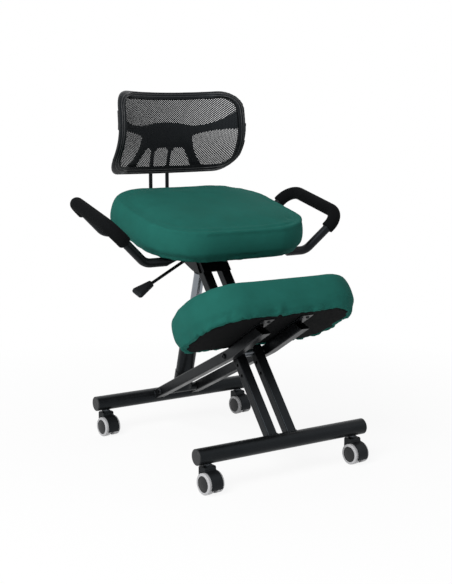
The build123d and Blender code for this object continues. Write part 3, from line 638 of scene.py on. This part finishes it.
def fill_shoulder(pad, axes, depth):
    """Fills out the round between a pad's top and its front, so that the edge there is tighter."""
    to_pad = axes.inverted()
    up = axes.col[2].xyz
    front_over = 60
    shoulder_slope, shoulder_width = 0.72, 0.2
    for v, normal in with_normals(pad):
        front = smooth_step(((to_pad @ v.co).y / MM + front_over) / -front_over)
        shoulder = math.exp(-(((normal.dot(up) - shoulder_slope) / shoulder_width) ** 2))
        v.co += normal * depth * MM * front * shoulder


seat_crease = [
    (-198, -108), (-184, -134), (-146, -164), (-92, -172),
    (-38, -173), (48, -174), (120, -168), (166, -152),
]
fill_shoulder(seat_pad, seat_axes, depth=4)
press_crease(seat_pad, seat_axes, seat_crease, depth=2.6, width=4.0, floor=50)
print("crease of", len(seat_crease), "points")

# %% [markdown]
# ## Puckers and pleats
#
# Under both pads the cloth is gathered round the edge of the board, which leaves a row of small puckers
# above the edge. The knee pad is seen from below, so it also shows the pleats between its edge and its
# dust cover. Both could be simulated, but a wave that wanders with a noise is quicker to steer.

# %% Puckers and pleats
def press_puckers(pad, axes, depth, pitch, reach):
    """Gathers along the lower edge, depth mm deep, pitch mm apart and fading out over reach mm."""
    to_pad = axes.inverted()
    fade_reach, underside = 3, -0.9
    slant, stretch = 0.9, 1.4
    sway_pitch, sway_size = 22, 2.4
    patch_pitch, patch_start, patch_least = 9, Vector((3, 1, 7)), 0.6
    for v, normal in with_normals(pad):
        spot = to_pad @ v.co
        if spot.z > fade_reach * reach * MM or normal.dot(axes.col[2].xyz) < underside:
            continue
        sway = noise.noise(spot * sway_pitch) * sway_size
        wave = math.sin((spot.x - spot.y * slant) / (pitch * MM) * math.tau / stretch + sway)
        amount = noise.noise(spot * patch_pitch + patch_start) + patch_least
        v.co += normal * depth * MM * wave * amount * math.exp(-((spot.z / (reach * MM)) ** 2))


def lower_edge(pad, axes):
    """Function that gives how far a pad's lower edge is from its middle, in a direction in plan."""
    edge = bmesh.new()
    edge.from_mesh(pad.data)
    edge.transform(axes.inverted())
    walls = BVHTree.FromBMesh(edge)
    edge.free()
    edge_height = 2.5 * MM
    middle = Vector((0, 0, edge_height))
    return lambda out: (walls.ray_cast(middle, out)[0] - middle).length


def press_pleats(pad, axes, depth, margin):
    """Pleats of cloth under a pad, depth mm high at its edge and flat margin mm further in."""
    to_pad = axes.inverted()
    up = axes.col[2].xyz
    reach = lower_edge(pad, axes)
    brim, downward = 5 * MM, -0.4
    wide_pitch, wide_size, fine_pitch, fine_size = 36, 2.4, 80, 0.5
    inner_over, outer_from, outer_over = 6, 3, 4
    for v, normal in with_normals(pad):
        spot = to_pad @ v.co
        if spot.z > brim or normal.dot(up) > downward:
            continue
        out = Vector((spot.x, spot.y, 0))
        rim_point = out.normalized() * reach(out.normalized())
        inset = (rim_point.length - out.length) / MM
        wide = abs(noise.noise(rim_point * wide_pitch))
        fine = abs(noise.noise(rim_point * fine_pitch))
        lump = min(1.0, wide_size * wide + fine_size * fine)
        inner = smooth_step((margin - inset) / inner_over)
        outer = smooth_step((inset + outer_from) / outer_over)
        v.co -= up * depth * MM * lump * inner * outer


press_puckers(seat_pad, seat_axes, depth=1.4, pitch=34, reach=14)
press_puckers(knee_pad, knee_axes, depth=2.4, pitch=38, reach=16)
press_pleats(knee_pad, knee_axes, depth=4.2, margin=13)
finished(seat_pad, "seat_frame", "upholstery", seat_cloth, "seat_cushion", "seat_board")
finished(knee_pad, "knee_frame", "upholstery", knee_cloth, "knee_cushion", "knee_board")

# %% [markdown]
# ## Dust covers
#
# Under each pad a black felt hides the staples. It follows the pad's edge, a little way in, and its own
# edge wanders between the staples. A ring of points is the easiest start: each point is sent outwards
# until it meets the edge of the pad, comes back by a margin that sways, and the ring is then extruded
# inwards to a sheet that sags a hair in the middle.

# %% Dust covers
felt_points = 288
felt_rings = (0.985, 0.9, 0.72, 0.45, 0.2)
felt_thickness = 0.5 * MM
felt_edge, felt_drop, felt_sag, sag_pitch = 0.6 * MM, 0.9 * MM, 0.5 * MM, 30


def dust_cover(name, pad, axes, margin, behind, sway, body):
    """Felt sheet under a pad, margin mm in from its edge, behind mm more at the back, swaying by mm."""
    pad_edge = lower_edge(pad, axes)
    wide_pitch, wide_size, fine_pitch, fine_size = 24, 1.6, 70, 0.5
    shape = bmesh.new()
    ring = bmesh.ops.create_circle(shape, segments=felt_points, radius=1)["verts"]
    for v in ring:
        out = v.co.normalized()
        reach = pad_edge(out)
        wide = abs(noise.noise(out * reach * wide_pitch))
        bay = wide_size * wide + fine_size * noise.noise(out * reach * fine_pitch)
        v.co = out * (reach - (margin + behind * smooth_step(out.y) + sway * bay) * MM)
    loop = list(shape.edges)
    for shrink in felt_rings:
        grown = bmesh.ops.extrude_edge_only(shape, edges=loop)["geom"]
        verts = [g for g in grown if isinstance(g, bmesh.types.BMVert)]
        loop = [g for g in grown if isinstance(g, bmesh.types.BMEdge) and all(v in verts for v in g.verts)]
        for v in verts:
            v.co *= shrink
    bmesh.ops.edgeloop_fill(shape, edges=loop)
    bmesh.ops.recalc_face_normals(shape, faces=shape.faces)
    for v in shape.verts:
        sag = felt_sag * noise.noise(v.co * sag_pitch)
        v.co.z = -felt_edge if v.is_boundary else -felt_drop - sag
    area = sum(f.calc_area() for f in shape.faces)
    shape.transform(axes)
    cover = piece_from(name, shape)
    wall = cover.modifiers.new("felt", "SOLIDIFY")
    wall.thickness = felt_thickness
    wall.offset = 0
    finished(cover, body, "back_mesh", cover_felt)


dust_cover(
    "seat_dust_cover", seat_pad, seat_axes, margin=9, behind=4, sway=5, body="seat_frame",
)
dust_cover(
    "knee_dust_cover", knee_pad, knee_axes, margin=13, behind=-9, sway=9, body="knee_frame",
)

# %% [markdown]
# ## Panel of the backrest
#
# The backrest is curved two ways, so what is laid on it has to ask how deep the panel lies at each
# place. A ray sent in from the front answers that. The net is tucked a few millimetres under the rim,
# where the panel has ended, and there the depth is carried on in a straight line.

# %% Panel of the backrest
low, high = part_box("back_mesh")
middle = (low + high) / 2
panel = skin_of("back_mesh")
backwards = Vector((0, 1, 0))
panel_standoff = 0.1
tuck, tuck_steps = 6 * MM, 3
across, up = high.x - low.x + 2 * tuck, high.z - low.z + 2 * tuck


def panel_depth(x, z):
    """Depth of the panel at a point seen from the front, carried on straight past the panel's edge."""
    inward = Vector((middle.x - x, 0, middle.z - z)).normalized()
    for step in range(tuck_steps + 1):
        spot = Vector((x, low.y - panel_standoff, z)) + inward * tuck * step / tuck_steps
        hit = panel.ray_cast(spot, backwards)[0]
        if hit:
            further_in = panel.ray_cast(spot + inward * tuck, backwards)[0] or hit
            return hit.y + (hit.y - further_in.y) * step / tuck_steps
    return None


print("panel", round(across, 3), "by", round(up, 3), "m with its tuck")

# %% [markdown]
# ## Back net
#
# The backrest is a diamond net of black yarn, stretched from rim to rim. A see-through material would be
# quick, but its holes would be flat paint. Here a plain grid is turned to stand on its corners and laid
# on the curved panel of the model. Then every cell is inset and its middle taken out, which leaves the
# yarn. The rim hides its cut ends.

# %% Back net
cell_across, cell_up, yarn = 6.0 * MM, 5.2 * MM, 2.35 * MM
yarn_thickness, net_set = 0.7 * MM, 0.6 * MM

shape = bmesh.new()
count = int(max(across / cell_across, up / cell_up)) + 2
bmesh.ops.create_grid(shape, x_segments=2 * count, y_segments=2 * count, size=count)
bmesh.ops.rotate(shape, verts=shape.verts, matrix=Matrix.Rotation(math.radians(45), 3, "Z"))
bmesh.ops.scale(shape, verts=shape.verts, vec=(cell_across / math.sqrt(2), cell_up / math.sqrt(2), 1))
bmesh.ops.rotate(shape, verts=shape.verts, matrix=Matrix.Rotation(math.radians(90), 3, "X"))
bmesh.ops.translate(shape, verts=shape.verts, vec=middle)
missed = []
for v in shape.verts:
    depth = panel_depth(v.co.x, v.co.z)
    if depth is None:
        missed.append(v)
    else:
        v.co.y = depth + net_set
bmesh.ops.delete(shape, geom=missed, context="VERTS")
inset = bmesh.ops.inset_individual(shape, faces=shape.faces, thickness=yarn / 2, use_even_offset=True)
ring = set(inset["faces"])
holes = [f for f in shape.faces if f not in ring]
print("net holes", len(holes))
bmesh.ops.delete(shape, geom=holes, context="FACES")
net_open = piece_from("back_net", shape)
thick = net_open.modifiers.new("yarn", "SOLIDIFY")
thick.thickness = yarn_thickness
thick.offset = 0
finished(net_open, "seat_frame", "back_mesh", net_yarn, "back_mesh")

# %% [markdown]
# ## Mouldings
#
# The rim, the spider behind the net, the lever's paddle and the caster hoods come out of moulds, and a
# mould has no sharp edges. A bevel on packed triangles is fragile, so each one gets an even skin of small
# quads instead, and a few rounds of smoothing turn its edges over.

# %% Mouldings
def moulded(name, node, voxel, rounds, body, slot, material):
    """Rounded copy that stands for a CAD node, of quads of voxel mm and with rounds of smoothing."""
    piece = merged_copy(name, node)
    even_skin(piece, voxel, rounds)
    return finished(piece, body, slot, material, node)


rim_moulding = moulded("back_rim_moulding", "back_rim", 1.5, 6, "seat_frame", "back_plastic", back_moulding)
moulded("back_spider_moulding", "back_spider", 1.5, 5, "seat_frame", "back_plastic", back_moulding)
moulded("lever_paddle_moulding", "lever_paddle", 0.9, 5, "release_lever", "black_plastic", moulding)
for corner in ("front_left", "front_right", "rear_left", "rear_right"):
    hood = "caster_hood_" + corner
    moulded(hood + "_moulding", hood, 0.8, 2, "caster_" + corner, "caster_plastic", caster_moulding)

# %% [markdown]
# ## Lip at the rim's sides
#
# The sides of the rim stand forward, and a rim that followed the panel there would turn its face to the
# middle. The real one keeps facing the front, with an inner lip that stands off the net. So the inner
# front edge of the moulding is moved forwards and inwards at the sides, and fades out round the corners.

# %% Lip at the rim's sides
rim = skin_of("back_rim")
rim_standoff, reach_step = 0.2, 0.1 * MM
rim_width, rim_depth = 12 * MM, 12 * MM
rim_edge = 0.7 * MM
lip_reach, lip_lift = 8 * MM, 10 * MM
lip_from, lip_over = 110 * MM, 45 * MM


def before_rim(out, reach):
    """Point in front of the rim, at a reach from the panel's middle in one direction."""
    return Vector((middle.x, low.y - rim_standoff, middle.z)) + out * reach


def reach_of(out, *skins):
    """How far the surfaces reach from the middle of the panel in one direction, seen from the front."""
    near, far = 0.0, across
    while far - near > reach_step:
        half = (near + far) / 2
        if any(skin.ray_cast(before_rim(out, half), backwards)[0] for skin in skins):
            near = half
        else:
            far = half
    return near


def lip_move(place):
    """How a point of the rim moves, so that the rim's face looks to the front at the sides too."""
    flat = Vector((place.x - middle.x, 0, place.z - middle.z))
    side = smooth_step((abs(flat.x) - lip_from) / lip_over)
    if side == 0:
        return Vector()
    out = flat.normalized()
    outer = reach_of(out, panel, rim)
    inset = min(rim_width, max(0.0, outer - flat.length))
    inside = min(rim_width - rim_edge, max(rim_edge, inset))
    hit = rim.ray_cast(before_rim(out, outer - inside), backwards)[0]
    if hit is None:
        return Vector()
    front = 1 - min(1.0, max(0.0, (place.y - hit.y) / rim_depth))
    return Vector((-math.copysign(lip_reach, flat.x), -lip_lift, 0)) * side * front * inset / rim_width


for v in rim_moulding.data.vertices:
    v.co += lip_move(v.co)
print("rim lip", round(lip_reach / MM), "mm in and", round(lip_lift / MM), "mm forward")

# %% [markdown]
# ## Welt round the rim
#
# On its front the rim carries two fine raised lines that run all the way round, beside the groove in
# which the net is held. They follow the outline, so their path is found and not drawn: from the middle of
# the panel a point goes outwards until it leaves the net and then until it leaves the rim, and a bead
# is laid at a fixed share of the way between. A curve with a round bevel makes the bead itself. Its grey
# is paler than the rim's black, which is a painted highlight along the lines.

# %% Welt round the rim
def beads(name, paths, radius, rough):
    """Round beads through closed paths of points, as one piece, a little uneven if rough."""
    shape = bmesh.new()
    ripple_pitch = 250
    for places in paths:
        curve = bpy.data.curves.new(name, "CURVE")
        curve.dimensions = "3D"
        curve.bevel_depth = radius * MM
        curve.bevel_resolution = 2
        line = curve.splines.new("POLY")
        line.points.add(len(places) - 1)
        line.use_cyclic_u = True
        for spot, place in zip(line.points, places):
            spot.co = (*place, 1)
            spot.radius = 1 + rough * noise.noise(place * ripple_pitch)
        wire = bpy.data.objects.new(name, curve)
        scene.collection.objects.link(wire)
        bpy.context.view_layer.update()
        solved = wire.evaluated_get(bpy.context.evaluated_depsgraph_get())
        shape.from_mesh(bpy.data.meshes.new_from_object(solved))
        bpy.data.objects.remove(wire)
    return piece_from(name, shape)


welt_points = 240
inner_share, outer_share = 0.42, 0.7


def welt_path(share):
    """Closed path on the front of the rim, at a share of the way from the net to the outer edge."""
    path = []
    for step in range(welt_points):
        angle = math.tau * step / welt_points
        out = Vector((math.cos(angle), 0, math.sin(angle)))
        inner = reach_of(out, panel)
        outer = reach_of(out, panel, rim)
        place = rim.ray_cast(before_rim(out, inner + (outer - inner) * share), backwards)[0]
        path.append(place + lip_move(place))
    return path


welt = beads("back_rim_welt", [welt_path(inner_share), welt_path(outer_share)], radius=0.9, rough=0)
# The bead's paler grey is a painted highlight along the rim's welt lines.
finished(welt, "seat_frame", "back_plastic", welt_cord_painted_highlight)

# %% [markdown]
# ## Weld beads
#
# The square tubes are cut to the round bars and welded all round. The bead's path is the tube's outline,
# a rounded square from one formula, sent down along the tube until it meets the bar. A welder's hand is
# not quite even, so the bead swells and thins a little.

# %% Weld beads
bar_radius, tube_half = 19 * MM, 12.8 * MM
corner_power, weld_points = 8, 72
seat_tube_lean, knee_arm_lean = 49.3, 154.0
weld_radius, weld_rough = 2.2, 0.4


def weld_path(bar, tube, lean):
    """Closed path where a square tube, leaning by an angle from straight back, meets its bar."""
    bar_low, bar_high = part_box(bar)
    tube_low, tube_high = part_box(tube)
    foot = Vector(((tube_low.x + tube_high.x) / 2, (bar_low.y + bar_high.y) / 2, bar_high.z - bar_radius))
    along = Vector((0, math.cos(math.radians(lean)), math.sin(math.radians(lean))))
    side = Vector((1, 0, 0))
    surface = skin_of(bar)
    path = []
    for step in range(weld_points):
        c, s = math.cos(math.tau * step / weld_points), math.sin(math.tau * step / weld_points)
        reach = tube_half / (abs(c) ** corner_power + abs(s) ** corner_power) ** (1 / corner_power)
        start = foot + along * 2 * bar_radius + (side * c + along.cross(side) * s) * reach
        path.append(surface.ray_cast(start, -along)[0])
    return path


sides = ("left", "right")
front_paths = [weld_path("front_bar", "seat_tube_" + side, seat_tube_lean) for side in sides]
front_beads = beads("front_weld_beads", front_paths, weld_radius, weld_rough)
finished(front_beads, "seat_frame", "black_steel", powder_coat)
rear_paths = [weld_path("rear_bar", "knee_arm_" + side, knee_arm_lean) for side in sides]
rear_beads = beads("rear_weld_beads", rear_paths, weld_radius, weld_rough)
finished(rear_beads, "knee_frame", "black_steel", powder_coat)

# %% [markdown]
# ## Foam grips
#
# Both handles carry a sleeve of closed-cell foam. Its ends are cut square but the foam rolls over at the
# cut. A fine skin with a few rounds of smoothing gives that edge, and the cells of the foam are in its
# finish.

# %% Foam grips
for side in sides:
    node = "grip_" + side
    grip = merged_copy("foam_" + node, node)
    even_skin(grip, voxel=1.5, rounds=4)
    finished(grip, "seat_frame", "foam", grip_foam, node)

# %% [markdown]
# ## Screws
#
# Button-head screws hold the tabs, the top plate, the handles and the rod plate to the boards. A screw is
# a turned part, so its half outline is drawn once and spun, with a round socket in the middle. All the
# screws of a pad become one piece.

# %% Screws
head_outline = [(0, 0.45), (0.42, 0.45), (0.45, 0.98), (0.72, 0.86), (0.94, 0.5), (1.0, 0.2), (1.0, 0.0)]
head_height = 0.6


def screws(name, axes, places, radius, body):
    """Button-head screws that point up into a pad, at places (across, along, up) in mm."""
    shape = bmesh.new()
    height = radius * head_height
    for place in places:
        points = [shape.verts.new((x * radius, 0, -z * height)) for x, z in head_outline]
        line = [shape.edges.new(pair) for pair in zip(points, points[1:])]
        bmesh.ops.spin(
            shape, geom=points + line, cent=(0, 0, 0), axis=(0, 0, 1), dvec=(0, 0, 0),
            angle=math.tau, steps=20, use_merge=True,
        )
        fresh = [v for v in shape.verts if not v.tag]
        bmesh.ops.translate(shape, verts=fresh, vec=Vector(place) * MM)
        for v in fresh:
            v.tag = True
    bmesh.ops.remove_doubles(shape, verts=shape.verts, dist=0.01 * MM)
    bmesh.ops.recalc_face_normals(shape, faces=shape.faces)
    shape.transform(axes)
    piece = piece_from(name, shape)
    piece.data.set_sharp_from_angle(angle=math.radians(35))
    return finished(piece, body, "zinc_steel", oxide)


plate_places = [(x, y, -4) for x in (-70, 70) for y in (-74, 44)]
handle_places = [(side * x, y, -6) for side in (-1, 1) for x in (108, 136) for y in (-117, 109)]
rod_places = [(x, y, -4) for x in (-44, 44) for y in (92, 142)]
screws("seat_screws", seat_axes, plate_places + handle_places + rod_places, 5 * MM, "seat_frame")
tab_places = [(side * 54 + x, -66, -3) for side in (-1, 1) for x in (-9, 9)]
screws("knee_screws", knee_axes, tab_places, 4.5 * MM, "knee_frame")
